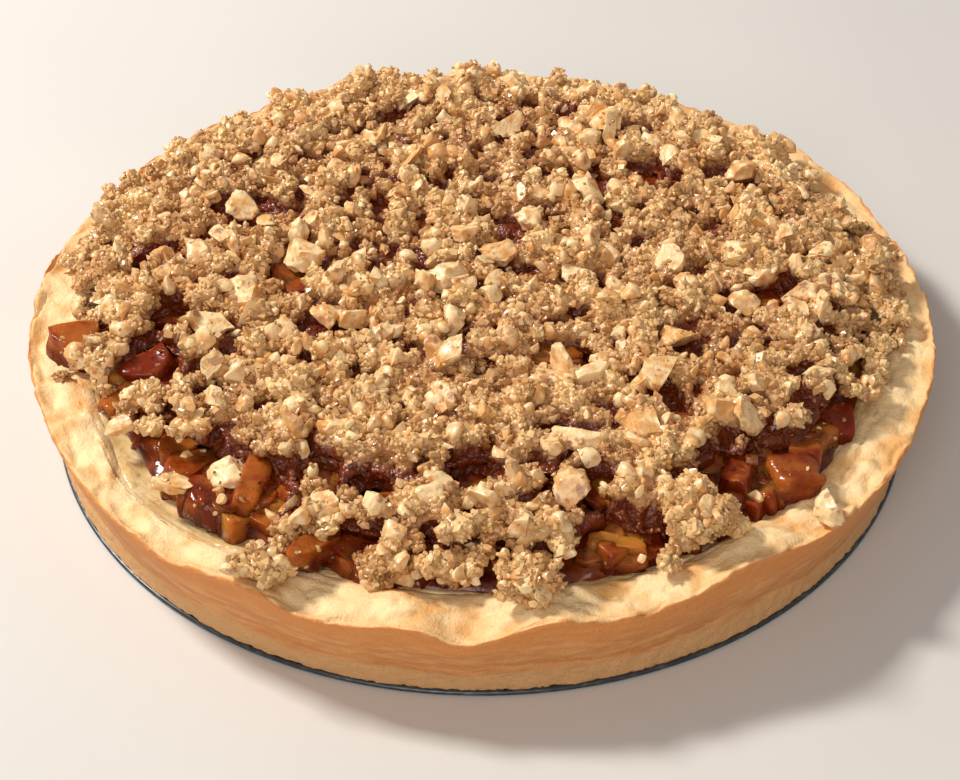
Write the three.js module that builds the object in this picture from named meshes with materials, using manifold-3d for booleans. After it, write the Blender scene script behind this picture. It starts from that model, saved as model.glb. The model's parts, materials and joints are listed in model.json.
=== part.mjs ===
// An apple crumble tart on the loose base of its tin: a hand-pressed shortcrust shell, a custard
// layer, caramelised apple pieces and a hazelnut crumble with large nuts and crumbs lying on top.
// Millimetres, +Z up, the front towards -Y, the origin on the floor under the tart's middle.
import * as THREE from 'three';
import { mergeVertices } from 'three/addons/utils/BufferGeometryUtils.js';
import Module from 'manifold-3d';

const wasm = await Module();
wasm.setup();

// Driving dimensions.
const RIM_RADIUS = 129.5;        // the outermost edge of the pastry
const RIM_HEIGHT = 28.6;         // the crest of the rim above the floor
const FOOT_RADIUS = 121.9;       // the pastry where it stands inside the tin's lip
const RIM_WIDTH = 18;            // pastry between the outer edge and the custard
const CUSTARD_LEVEL = 24;
const PASTRY_FLOOR = 5;          // the thickness of the pastry under the filling
const PLATE_THICKNESS = 1;
const LIP_RADIUS = 124.3;        // the rolled lip of the tin's base
const LIP_HEIGHT = 1.5;
const LIP_WIDTH = 2;
const GAP = 0.3;                 // air between pieces that touch
const APPLE_TOP = 27.6;          // the apple layer between its larger pieces
const CRUMBLE_TOP = 37.4;        // the crumble layer between its lumps
const CRUMBLE_FLOOR = 30.2;      // the crumble layer's underside
const HEAP_RADIUS = 115;         // the mean outline of the crumble
const CORE_SETBACK = 3.5;        // the crumble layer stops this far short of its outermost lumps
const CLUMP_COUNT = 120;
const CLUMP_SIZE = [12.5, 18.5];     // the smallest and largest lump of crumble
const CLUMP_ROUGHNESS = 0.16;    // how far a lump's corners are drawn in or out
const DICE = { length: [11, 15], width: [9, 12], height: [8, 10] };
const DICE_ROUNDING = 0.45;      // how far apple dice lean from a block towards a ball
const AROUND = 72;               // steps round the shell
const GOLDEN_ANGLE = Math.PI * (3 - Math.sqrt(5));
const DEGREE = Math.PI / 180;

// The rim as it was pressed by hand: where it rises or sinks, in degrees from +X and millimetres.
const RIM_LIFTS = [
  { at: -128, width: 6, lift: -1.8 }, { at: -118, width: 6, lift: 1.2 },
  { at: -109, width: 5, lift: -1.2 }, { at: -99, width: 4, lift: 1.8 },
  { at: -92, width: 4, lift: -2.6 }, { at: -82, width: 4, lift: 2.2 },
  { at: -72, width: 5, lift: -1.0 }, { at: -57, width: 7, lift: 2.8 },
  { at: -26, width: 9, lift: -1.6 }, { at: 4, width: 8, lift: -1.2 },
  { at: 33, width: 12, lift: 1.6 }, { at: 118, width: 9, lift: 1.4 },
  { at: 160, width: 8, lift: -1.4 }, { at: 174, width: 6, lift: 2.0 },
];

// Where the rim is thinner and the custard shows: the middle and half the width of the stretch, in
// degrees, and how much further out the custard reaches there.
const CUSTARD_SHOWS = { at: -136, width: 15, reach: 6 };

// Places where the crumble leaves the apple open: middle and radius, in millimetres.
const BARE_PATCHES = [
  { x: -76, y: -84, radius: 13 }, { x: -58, y: -84, radius: 8 }, { x: -42, y: -79, radius: 6 },
  { x: -28, y: -86, radius: 7 }, { x: -2, y: -82, radius: 7.5 }, { x: 13, y: -84, radius: 7 },
  { x: 31, y: -86, radius: 7 }, { x: 33, y: -102, radius: 8 }, { x: 54, y: -64, radius: 6.5 },
  { x: 63, y: -80, radius: 9.5 }, { x: 82, y: -76, radius: 12 }, { x: 97, y: -59, radius: 8 },
  { x: 25, y: -33, radius: 6 }, { x: 83, y: -8, radius: 6.5 }, { x: 50, y: 55, radius: 5 },
  { x: -112, y: -24, radius: 8 }, { x: -92, y: -36, radius: 9 }, { x: -87, y: -14, radius: 6 },
  { x: -97, y: 14, radius: 5 }, { x: -55, y: 4, radius: 5.5 }, { x: -34, y: -107, radius: 5 },
];

// Single apple pieces that lie free: place, length, width and height, turn and tilt in degrees.
const FREE_APPLES = [
  { x: 83, y: -76, z: 29, size: [15, 13, 12], turn: 12, tilt: 8 },
  { x: 68, y: -74, z: 30, size: [9, 17, 11], turn: -20, tilt: -10 },
  { x: -43, y: -103, z: 31, size: [20, 7.5, 9], turn: 48, tilt: 14 },
  { x: -114, y: -20, z: 29, size: [16, 13, 10], turn: 20, tilt: 4 },
  { x: -91, y: -34, z: 31, size: [15, 13, 12], turn: 35, tilt: -12 },
  { x: -73, y: -87, z: 29, size: [17, 11, 9], turn: -25, tilt: 6 },
  { x: -60, y: -80, z: 31, size: [8, 19, 12], turn: -12, tilt: 10 },
  { x: 34, y: -100, z: 29, size: [17, 6.5, 8], turn: -6, tilt: 0 },
];

// Large hazelnut pieces: place, length, width and height, turn and tilt in degrees.
const HAZELNUTS = [
  { x: -66, y: -76, size: [13, 12, 8], turn: 30, tilt: 18 },
  { x: -80, y: -80, size: [12.5, 5.5, 5], turn: 28, tilt: 0 },
  { x: -51, y: 10, size: [13, 11, 8], turn: 5, tilt: 14 },
  { x: -43, y: -20, size: [11, 9.5, 8], turn: 70, tilt: 10 },
  { x: -75, y: -22, size: [13, 9, 7], turn: 0, tilt: 4 },
  { x: -71, y: 35, size: [11.5, 11, 8], turn: -40, tilt: 16 },
  { x: -10, y: -1, size: [14, 9.5, 7.5], turn: -6, tilt: 10 },
  { x: 5, y: 11, size: [12.5, 8.5, 8], turn: 12, tilt: 6 },
  { x: 55, y: -28, size: [13, 10.5, 8], turn: -4, tilt: 12 },
  { x: 48, y: -47, size: [12, 12, 9], turn: 50, tilt: 8 },
  { x: 74, y: -12, size: [10.5, 9, 7], turn: 25, tilt: 10 },
  { x: 91, y: -8, size: [12.5, 9, 7.5], turn: 8, tilt: 6 },
  { x: 79, y: 52, size: [11.5, 10, 9], turn: -30, tilt: 12 },
  { x: 26, y: -70, size: [17, 9, 6], turn: -8, tilt: 10 },
  { x: 23, y: -89, size: [10, 14, 8], turn: 8, tilt: -14 },
  { x: 14, y: 28, size: [9, 11, 8], turn: 35, tilt: 10 },
  { x: 8, y: 80, size: [12, 10, 8], turn: 15, tilt: 8 },
  { x: 90, y: -88, size: [8.5, 10.5, 7.5], turn: 20, tilt: 0 },
];

// Lumps of crumble that lie apart from the heap, over the apples and the front of the rim.
const LOOSE_CLUMPS = [
  { x: -54, y: -110, size: 12 }, { x: -46, y: -94, size: 13 }, { x: -24, y: -107, size: 14.5 },
  { x: -8, y: -108, size: 15.5 }, { x: 12, y: -116, size: 16 }, { x: 53, y: -96, size: 18 },
];

const draw = (index, channel) => {
  const wave = Math.sin(index * 12.9898 + channel * 78.233) * 43758.5453;
  return wave - Math.floor(wave);
};
const mix = (low, high, share) => low + (high - low) * share;
const smooth = (low, high, value) => THREE.MathUtils.smoothstep(value, low, high);
const angleGap = (a, b) => Math.abs(((a - b + 540) % 360) - 180);

// How far the rim rises at an angle, and how far its edge reaches outwards.
function rimLift(angle) {
  const degrees = angle / DEGREE;
  const pressed = RIM_LIFTS.reduce((sum, { at, width, lift }) =>
    sum + lift * Math.exp(-((angleGap(degrees, at) / width) ** 2)), 0);
  return pressed + 0.5 * Math.sin(5 * angle + 1) + 0.3 * Math.sin(11 * angle);
}

function rimReach(angle) {
  return 0.5 * Math.sin(3 * angle + 0.6) + 0.4 * Math.sin(8 * angle + 2) - 0.25 * rimLift(angle);
}

// How much further out the custard reaches at an angle.
function custardReach(angle) {
  const { at, width, reach } = CUSTARD_SHOWS;
  return reach * Math.exp(-((angleGap(angle / DEGREE, at) / width) ** 2));
}

// The crumble's outline: it reaches further at the back, and draws in over the custard at the
// front left.
function heapEdge(angle) {
  const towardsBack = 4.5 * Math.sin(angle);
  const drawnIn = 12 * Math.exp(-((angleGap(angle / DEGREE, -135) / 20) ** 2));
  return HEAP_RADIUS + towardsBack - drawnIn + 2 * Math.sin(5 * angle + 0.7);
}

const distanceTo = (place, piece) => Math.hypot(place.x - piece.x, place.y - piece.y);

// Moves a place straight away from each listed piece, until it is as far off as reach() asks.
function moveClear(place, pieces, reach) {
  pieces.forEach((piece) => {
    const distance = Math.max(distanceTo(place, piece), 0.1);
    const share = Math.max(0, reach(piece) / distance - 1);
    place.x += share * (place.x - piece.x);
    place.y += share * (place.y - piece.y);
  });
}

// A closed geometry as a solid, turned so that its faces point outwards.
function solid(geometry) {
  const bare = geometry.clone();
  bare.deleteAttribute('normal');
  bare.deleteAttribute('uv');
  const merged = mergeVertices(bare.index ? bare : mergeVertices(bare), 1e-4);
  const corners = [];
  const { array } = merged.index;
  for (let i = 0; i < array.length; i += 3) {
    const [a, b, c] = [array[i], array[i + 1], array[i + 2]];
    if (a !== b && b !== c && c !== a) corners.push(a, b, c);
  }
  const points = Float32Array.from(merged.attributes.position.array);
  const triangles = volume(points, corners) < 0 ? corners.reverse() : corners;
  return new wasm.Manifold(new wasm.Mesh({
    numProp: 3, vertProperties: points, triVerts: Uint32Array.from(triangles),
  }));
}

function volume(points, corners) {
  const at = (i) => new THREE.Vector3().fromArray(points, 3 * i);
  let sum = 0;
  for (let i = 0; i < corners.length; i += 3) {
    sum += at(corners[i]).dot(at(corners[i + 1]).cross(at(corners[i + 2])));
  }
  return sum / 6;
}

function geometryOf(manifold) {
  const { vertProperties, triVerts } = manifold.getMesh();
  const geometry = new THREE.BufferGeometry();
  geometry.setAttribute('position', new THREE.Float32BufferAttribute(vertProperties, 3));
  geometry.setIndex(Array.from(triVerts));
  return geometry;
}

const union = (solids) => wasm.Manifold.union(solids);
const largestPart = (manifold) =>
  manifold.decompose().sort((a, b) => b.volume() - a.volume())[0];

// A profile of [radius, height] points spun round Z, each point moved by its own rule.
function turned(profile, steps, move = () => {}) {
  const points = profile.map(([radius, height]) => new THREE.Vector2(radius, height));
  const geometry = new THREE.LatheGeometry(points, steps).rotateX(Math.PI / 2);
  const position = geometry.attributes.position;
  const point = new THREE.Vector3();
  for (let i = 0; i < position.count; i += 1) {
    point.fromBufferAttribute(position, i);
    const radius = Math.hypot(point.x, point.y);
    const angle = Math.round(Math.atan2(point.y, point.x) * 1e5) / 1e5;
    if (radius > 1e-6) {
      const place = { radius, angle: angle <= -3.14159 ? Math.PI : angle, height: point.z };
      move(place, i % profile.length);
      point.set(place.radius * Math.cos(place.angle), place.radius * Math.sin(place.angle), place.height);
      position.setXYZ(i, point.x, point.y, point.z);
    }
  }
  return geometry;
}

// The pastry shell's section, from under the middle round the rim to the middle of its floor.
// The third number says how much of the rim's hand-pressed movement a point takes, and the fourth
// how much of the custard's.
const UNDERSIDE = PLATE_THICKNESS + GAP;
const CUSTARD_RADIUS = RIM_RADIUS - RIM_WIDTH;
const CREASE_HEIGHT = 7.2;
const SHELL = [
  [0, UNDERSIDE, 0, 0],
  [FOOT_RADIUS - 2, UNDERSIDE, 0, 0],
  [FOOT_RADIUS, LIP_HEIGHT + GAP, 0, 0],
  [FOOT_RADIUS + 1.5, CREASE_HEIGHT - 3, 0, 0],
  [FOOT_RADIUS + 1.3, CREASE_HEIGHT - 0.8, 0, 0],
  [FOOT_RADIUS + 0.6, CREASE_HEIGHT, 0, 0],
  [mix(FOOT_RADIUS, RIM_RADIUS, 0.35), 13, 0.15, 0],
  [mix(FOOT_RADIUS, RIM_RADIUS, 0.7), 20, 0.4, 0],
  [RIM_RADIUS - 0.5, RIM_HEIGHT - 2.6, 1, 0],
  [RIM_RADIUS, RIM_HEIGHT - 1, 1, 0],
  [RIM_RADIUS - 1.2, RIM_HEIGHT, 1, 0],
  [RIM_RADIUS - 9, RIM_HEIGHT - 0.8, 0.8, 0.2],
  [RIM_RADIUS - 15, RIM_HEIGHT - 1.8, 0.4, 0.8],
  [CUSTARD_RADIUS, CUSTARD_LEVEL, 0, 1],
  [CUSTARD_RADIUS - 2.5, CUSTARD_LEVEL * 0.7, 0, 1],
  [CUSTARD_RADIUS - 5, UNDERSIDE + PASTRY_FLOOR, 0, 1],
  [0, UNDERSIDE + PASTRY_FLOOR, 0, 0],
];

// The pastry shell, thickened by grow.
function shell(grow) {
  const along = (i) => new THREE.Vector2().fromArray(SHELL[THREE.MathUtils.clamp(i, 0, SHELL.length - 1)]);
  const profile = SHELL.map(([radius, height], i) => {
    const run = along(i + 1).sub(along(i - 1)).normalize();
    return [radius === 0 ? 0 : radius + grow * run.y, height - grow * run.x];
  });
  return turned(profile, AROUND, (place, row) => {
    const [, , pressed, inner] = SHELL[row];
    place.radius += pressed * rimReach(place.angle) + inner * custardReach(place.angle);
    place.height += pressed * rimLift(place.angle);
  });
}

// The tin's loose base: a flat plate with a rolled lip round its edge.
function tinBase() {
  const roll = LIP_WIDTH / 2;
  const profile = [
    [0, 0],
    [LIP_RADIUS - 0.5, 0],
    [LIP_RADIUS, 0.5],
    [LIP_RADIUS, LIP_HEIGHT - 0.5],
    [LIP_RADIUS - 0.5, LIP_HEIGHT],
    [LIP_RADIUS - roll, LIP_HEIGHT],
    [LIP_RADIUS - LIP_WIDTH, PLATE_THICKNESS],
    [0, PLATE_THICKNESS],
  ];
  return turned(profile, AROUND);
}

// The custard fills the shell up to the foot of its rim.
function custard() {
  const top = CUSTARD_RADIUS - GAP;
  const profile = [
    [0, UNDERSIDE + PASTRY_FLOOR + GAP],
    [top - 4.9, UNDERSIDE + PASTRY_FLOOR + GAP],
    [top - 2.5, CUSTARD_LEVEL * 0.7],
    [top, CUSTARD_LEVEL],
    [0, CUSTARD_LEVEL],
  ];
  return turned(profile, AROUND, (place) => {
    place.radius += custardReach(place.angle);
  });
}

// A geometry of unit size as an uneven lump: each corner is drawn in or out by a number that
// its place gives, and then the whole is sized, tilted, turned and placed. grow thickens it.
function lump(geometry, { seed, roughness, size, turn = 0, tilt = 0, at }, grow = 0) {
  const { position } = geometry.attributes;
  const point = new THREE.Vector3();
  for (let i = 0; i < position.count; i += 1) {
    point.fromBufferAttribute(position, i);
    const corner = point.toArray().reduce((sum, along) => 7 * sum + Math.round(13 * along), 0);
    point.multiplyScalar(1 + roughness * (2 * draw(seed, corner) - 1));
    position.setXYZ(i, point.x, point.y, point.z);
  }
  geometry.scale(size[0] + 2 * grow, size[1] + 2 * grow, size[2] + 2 * grow);
  geometry.rotateY(tilt * DEGREE);
  geometry.rotateZ(turn * DEGREE);
  return solid(geometry.translate(at.x, at.y, at.z));
}

// Diced apple: a block with its edges and corners rounded off.
function appleLump(apple, i, grow) {
  const dice = new THREE.BoxGeometry(1, 1, 1, 2, 2, 2);
  const { position } = dice.attributes;
  const point = new THREE.Vector3();
  for (let k = 0; k < position.count; k += 1) {
    point.fromBufferAttribute(position, k);
    point.multiplyScalar(mix(1, 0.5 / point.length(), DICE_ROUNDING));
    position.setXYZ(k, point.x, point.y, point.z);
  }
  return lump(dice, { ...apple, seed: 900 + i, roughness: 0.06, at: apple }, grow);
}

// The apple dice of a bare patch lie on a spiral, so that they fill it from its middle.
function patchApples(patch, patchIndex) {
  const count = Math.max(1, Math.round((patch.radius / 6.5) ** 2));
  const widest = 2 * patch.radius - 1;
  return Array.from({ length: count }, (_, i) => {
    const seed = 100 * patchIndex + i;
    const reach = Math.max(0, patch.radius - 5.5) * Math.sqrt(i / count) * 1.2;
    const x = patch.x + reach * Math.cos(i * GOLDEN_ANGLE + patchIndex);
    const y = patch.y + reach * Math.sin(i * GOLDEN_ANGLE + patchIndex);
    const sides = [DICE.length, DICE.width, DICE.height];
    const size = sides.map(([low, high], side) => Math.min(widest, mix(low, high, draw(seed, 1 + side))));
    return { x, y, z: APPLE_TOP - 2.4, size, turn: 360 * draw(seed, 4), tilt: 16 * draw(seed, 5) - 8 };
  }).filter((apple) => FREE_APPLES.every((free) => distanceTo(apple, free) > 9));
}

// The layer in which the apple dice lie, from the custard up to their syrup.
function appleCore() {
  const edge = CUSTARD_RADIUS - 1.5;
  const base = CUSTARD_LEVEL + GAP;
  const profile = [[0, base], [edge, base], [edge - 2, APPLE_TOP - 2.5], [edge - 12, APPLE_TOP],
    [0, APPLE_TOP]];
  return turned(profile, AROUND / 2, (place, row) => {
    const wave = 2 * Math.sin(7 * place.angle) - 0.5 * custardReach(place.angle);
    if (row === 1 || row === 2) place.radius += wave;
  });
}

// The crumble's underlying layer, over the apple and out to the heap's uneven edge.
function crumbleCore() {
  const profile = [[0, CRUMBLE_FLOOR], [0.94, CRUMBLE_FLOOR], [1, CRUMBLE_FLOOR + 2],
    [0.94, CRUMBLE_TOP - 1.5], [0.8, CRUMBLE_TOP], [0, CRUMBLE_TOP]];
  const spread = profile.map(([share, height]) => [share * HEAP_RADIUS, height]);
  return turned(spread, AROUND / 2, (place) => {
    place.radius *= (heapEdge(place.angle) - CORE_SETBACK) / HEAP_RADIUS;
  });
}

// The gap in the crumble layer over a bare patch.
function patchHole({ x, y, radius }) {
  const hole = new THREE.CylinderGeometry(radius, radius * 0.95, 40, 6);
  return solid(hole.rotateX(Math.PI / 2).translate(x, y, CRUMBLE_FLOOR));
}

// Whatever lies by itself on the tart, with the room that it takes.
const LYING = [
  ...[...HAZELNUTS, ...FREE_APPLES].map(({ x, y, size }) => ({ x, y, radius: (size[0] + size[1]) / 4 })),
  ...LOOSE_CLUMPS.map(({ x, y, size }) => ({ x, y, radius: size / 2 })),
];

// The lumps of the heap lie on a sunflower spiral, each moved a little by a seeded draw and then
// off the bare patches and the pieces that lie on the heap.
function heapClumps() {
  const clumps = [];
  for (let k = 0; k < CLUMP_COUNT; k += 1) {
    const turnedBy = k * GOLDEN_ANGLE;
    const reach = heapEdge(turnedBy) * Math.sqrt((k + 0.5) / CLUMP_COUNT);
    const size = mix(CLUMP_SIZE[0], CLUMP_SIZE[1], draw(k, 3));
    const clump = {
      x: reach * Math.cos(turnedBy) + 4 * (draw(k, 1) - 0.5),
      y: reach * Math.sin(turnedBy) + 4 * (draw(k, 2) - 0.5),
      size,
      seed: k,
    };
    moveClear(clump, BARE_PATCHES, (patch) => 0.3 * size + patch.radius);
    moveClear(clump, LYING, (piece) => 0.5 * size + piece.radius);
    const fromMiddle = Math.hypot(clump.x, clump.y);
    clump.z = CRUMBLE_FLOOR + 0.47 * size - smooth(100, 118, fromMiddle);
    const free = LYING.every((piece) => distanceTo(clump, piece) > 0.4 * size + piece.radius);
    const within = fromMiddle < heapEdge(Math.atan2(clump.y, clump.x)) + 4;
    if (free && within) clumps.push(clump);
  }
  return clumps;
}

// A lump of crumble, with 20 sides or, at detail 1, with 80.
function clumpLump({ x, y, z, size, seed }, detail, grow = 0) {
  const width = size * mix(0.78, 1, draw(seed, 6));
  const height = size * mix(0.64, 0.8, draw(seed, 7));
  return lump(new THREE.IcosahedronGeometry(0.5, detail), {
    seed,
    size: [size, width, height],
    roughness: CLUMP_ROUGHNESS,
    turn: 360 * draw(seed, 5),
    at: { x, y, z },
  }, grow);
}

// A hazelnut piece: chopped to flat facets with blunt corners.
const hazelnut = (nut, i, grow) =>
  lump(new THREE.DodecahedronGeometry(0.5), { ...nut, seed: 500 + i, roughness: 0.06, at: nut }, grow);

// The height of what lies under a piece, found with an upright rod through the piece's middle.
function topAt(manifold, { x, y }, radius) {
  const rod = new THREE.CylinderGeometry(radius, radius, 80, 6).rotateX(Math.PI / 2);
  return manifold.intersect(solid(rod.translate(x, y, 40))).boundingBox().max[2];
}

const crustSolid = solid(shell(0));
const crustWithAir = solid(shell(GAP));
const custardSolid = solid(custard());
const WIDE = 1.5 * RIM_RADIUS;
const upTo = (height) => solid(turned([[0, -1], [WIDE, -1], [WIDE, height], [0, height]], 12));
const custardWithAir = upTo(CUSTARD_LEVEL + GAP);

const apples = [...FREE_APPLES, ...BARE_PATCHES.flatMap(patchApples)];
const appleHeap = union([solid(appleCore()), ...apples.map((apple, i) => appleLump(apple, i, 0))]);
const appleSolid = largestPart(appleHeap.subtract(custardWithAir).subtract(crustWithAir));
const appleWithAir = union(apples.map((apple, i) => appleLump(apple, i, GAP)));

const crumbleHeap = union([
  solid(crumbleCore()).subtract(union(BARE_PATCHES.map(patchHole))),
  ...heapClumps().map((clump) => clumpLump(clump, 0)),
]);
const crumbleRaw = crumbleHeap.subtract(appleWithAir).subtract(crustWithAir);

const bed = union([crumbleRaw, appleSolid, custardSolid, crustSolid]);
const looseClumps = LOOSE_CLUMPS.map((clump, i) => {
  const z = topAt(bed, clump, clump.size * 0.2) + clump.size * 0.3;
  const place = { ...clump, z, seed: 700 + i };
  const bare = clumpLump(place, 1).subtract(crustWithAir).subtract(custardWithAir);
  return { bare, withAir: clumpLump(place, 1, GAP) };
});

// The hazelnuts rest on a flat face just clear of what carries them.
const nuts = HAZELNUTS.map((nut, i) => {
  const top = topAt(bed, nut, 2);
  const place = { ...nut, z: top + nut.size[2] * 0.32 };
  return {
    bare: hazelnut(place, i, 0).subtract(upTo(top + GAP)),
    withAir: hazelnut(place, i, GAP).subtract(upTo(top + GAP / 2)),
  };
});
const nutsWithAir = union(nuts.map((nut) => nut.withAir));
const looseWithAir = nutsWithAir.add(union(looseClumps.map((clump) => clump.withAir)));

const tart = new THREE.Group();
const steel = { color: 0x4a4f52, roughness: 0.45, metalness: 0.8 };
const pastry = { color: 0xd9a566, roughness: 0.7, metalness: 0 };
const cream = { color: 0xe9d39a, roughness: 0.25, metalness: 0 };
const caramel = { color: 0x8a3a12, roughness: 0.2, metalness: 0 };
const crumb = { color: 0xcfa166, roughness: 0.6, metalness: 0 };
const kernel = { color: 0xe8c98a, roughness: 0.45, metalness: 0 };

function add(name, manifold, finish) {
  const piece = new THREE.Mesh(geometryOf(manifold), new THREE.MeshStandardMaterial(finish));
  piece.name = name;
  tart.add(piece);
}

const numbered = (name, i) => `${name}_${String(i + 1).padStart(2, '0')}`;

add('tin_base', solid(tinBase()), steel);
add('crust', crustSolid, pastry);
add('custard', custardSolid, cream);
add('apple_filling', largestPart(appleSolid.subtract(looseWithAir)), caramel);
add('crumble', largestPart(crumbleRaw.subtract(looseWithAir)), crumb);
looseClumps.forEach((clump, i) => {
  add(numbered('crumble_clump', i), largestPart(clump.bare.subtract(nutsWithAir)), crumb);
});
nuts.forEach((nut, i) => {
  add(numbered('hazelnut', i), largestPart(nut.bare.subtract(crustWithAir)), kernel);
});

export default tart;
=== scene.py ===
# %% [markdown]
# # An apple crumble tart, dressed on its solid frame
# The tart is a hand-pressed shortcrust shell on the loose base of its tin. It holds custard and
# diced caramelised apple, and a hazelnut crumble is heaped over it. The frame gives every solid
# at its real size. Each step makes one layer: its shape with bmesh operators, then its finish.

# %% The frame and the imports
import json
import math

import bmesh
import bpy
import numpy as np
from mathutils import Matrix, Vector, noise

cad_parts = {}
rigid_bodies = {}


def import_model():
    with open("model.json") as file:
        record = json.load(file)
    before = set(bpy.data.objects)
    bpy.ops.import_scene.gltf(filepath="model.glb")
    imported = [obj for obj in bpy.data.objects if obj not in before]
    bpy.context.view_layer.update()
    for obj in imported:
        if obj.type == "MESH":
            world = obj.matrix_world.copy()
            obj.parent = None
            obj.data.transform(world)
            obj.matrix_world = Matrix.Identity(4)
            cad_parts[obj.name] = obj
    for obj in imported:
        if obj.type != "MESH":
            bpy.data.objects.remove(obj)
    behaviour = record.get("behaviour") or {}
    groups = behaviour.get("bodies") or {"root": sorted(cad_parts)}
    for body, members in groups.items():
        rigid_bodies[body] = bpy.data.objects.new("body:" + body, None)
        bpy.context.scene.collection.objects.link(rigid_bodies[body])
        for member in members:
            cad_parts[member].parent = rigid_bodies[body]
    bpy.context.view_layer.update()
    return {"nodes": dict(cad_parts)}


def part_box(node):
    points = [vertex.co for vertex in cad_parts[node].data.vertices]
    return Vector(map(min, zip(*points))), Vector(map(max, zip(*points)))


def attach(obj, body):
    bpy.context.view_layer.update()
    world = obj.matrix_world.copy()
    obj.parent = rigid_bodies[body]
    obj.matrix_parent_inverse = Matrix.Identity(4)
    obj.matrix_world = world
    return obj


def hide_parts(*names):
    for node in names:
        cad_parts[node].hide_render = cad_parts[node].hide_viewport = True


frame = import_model()

# %% [markdown]
# ## The camera
# The picture was taken from in front and above, with a long lens. Its pitch, distance and focal
# length were fitted to the ellipses of the rim and of the base, so they are plain numbers here.

# %% Camera
VIEW_PITCH = math.radians(39.68)
VIEW_DISTANCE = 0.65
LOOK_AT = Vector((-0.00027, -0.00202, 0))
FOCAL_PIXELS = 2186.2
IMAGE_WIDTH = 960
SENSOR_WIDTH = 36

camera = bpy.data.objects.new("camera", bpy.data.cameras.new("camera"))
camera.data.sensor_width = SENSOR_WIDTH
camera.data.lens = FOCAL_PIXELS / IMAGE_WIDTH * SENSOR_WIDTH
camera.data.clip_start = 0.01
camera.location = LOOK_AT + VIEW_DISTANCE * Vector((0, -math.cos(VIEW_PITCH), math.sin(VIEW_PITCH)))
camera.rotation_euler = (math.pi / 2 - VIEW_PITCH, 0, 0)
bpy.context.scene.collection.objects.link(camera)
bpy.context.scene.camera = camera
print("camera lens:", round(camera.data.lens, 1), "mm")

# %% [markdown]
# ## The light
# Crumbs only look crisp when one light is much stronger than the rest and stands to a side: here
# a small soft box at the back left. A wide, weak one in front keeps the wall of the shell from
# going dark, and the pale world fills what is left.

# %% Light
scene = bpy.context.scene
scene.view_settings.view_transform = "Standard"


def soft_box(name, place, side, power, tint):
    """A square area light at a place, turned to face the tart."""
    light = bpy.data.lights.new(name, "AREA")
    light.size = side
    light.energy = power
    light.color = tint
    lamp = bpy.data.objects.new(name, light)
    lamp.location = place
    lamp.rotation_euler = (-Vector(place)).to_track_quat("-Z", "Y").to_euler()
    scene.collection.objects.link(lamp)


soft_box("key_light", place=(-0.84, 0.36, 1.02), side=0.24, power=19, tint=(1, 0.96, 0.90))
soft_box("front_light", place=(-0.25, -1.3, 0.9), side=0.9, power=8, tint=(1, 0.95, 0.90))

world = bpy.data.worlds.new("studio")
world.use_nodes = True
world.node_tree.nodes["Background"].inputs["Color"].default_value = (1, 0.90, 0.83, 1)
world.node_tree.nodes["Background"].inputs["Strength"].default_value = 0.32
scene.world = world

# %% [markdown]
# ## Shader sums in plain Python
# Most nodes of a finish are sums. `Amount` wraps one output of a node, and its operators add the
# Math node for a sum, so that a mask can be written as `1 - dust * 2`. `Finish` holds one
# material, and its `node` method makes any other node: settings first, then its sockets.

# %% Shader helpers
class Amount:
    """One output of a shader node. Sums on it add Math nodes."""

    def __init__(self, finish, socket):
        self.finish = finish
        self.socket = socket

    def sum(self, operation, *terms):
        return self.finish.node("ShaderNodeMath", {"operation": operation}, dict(enumerate(terms)))

    def __add__(self, other):
        return self.sum("ADD", self, other)

    def __sub__(self, other):
        return self.sum("SUBTRACT", self, other)

    def __rsub__(self, other):
        return self.sum("SUBTRACT", other, self)

    def __mul__(self, other):
        return self.sum("MULTIPLY", self, other)

    __radd__ = __add__
    __rmul__ = __mul__

    def step(self, low, high):
        """0 below low, 1 above high and a soft step between them."""
        return self.finish.node(
            "ShaderNodeMapRange", {"interpolation_type": "SMOOTHSTEP"},
            {"Value": self, "From Min": low, "From Max": high})


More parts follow.
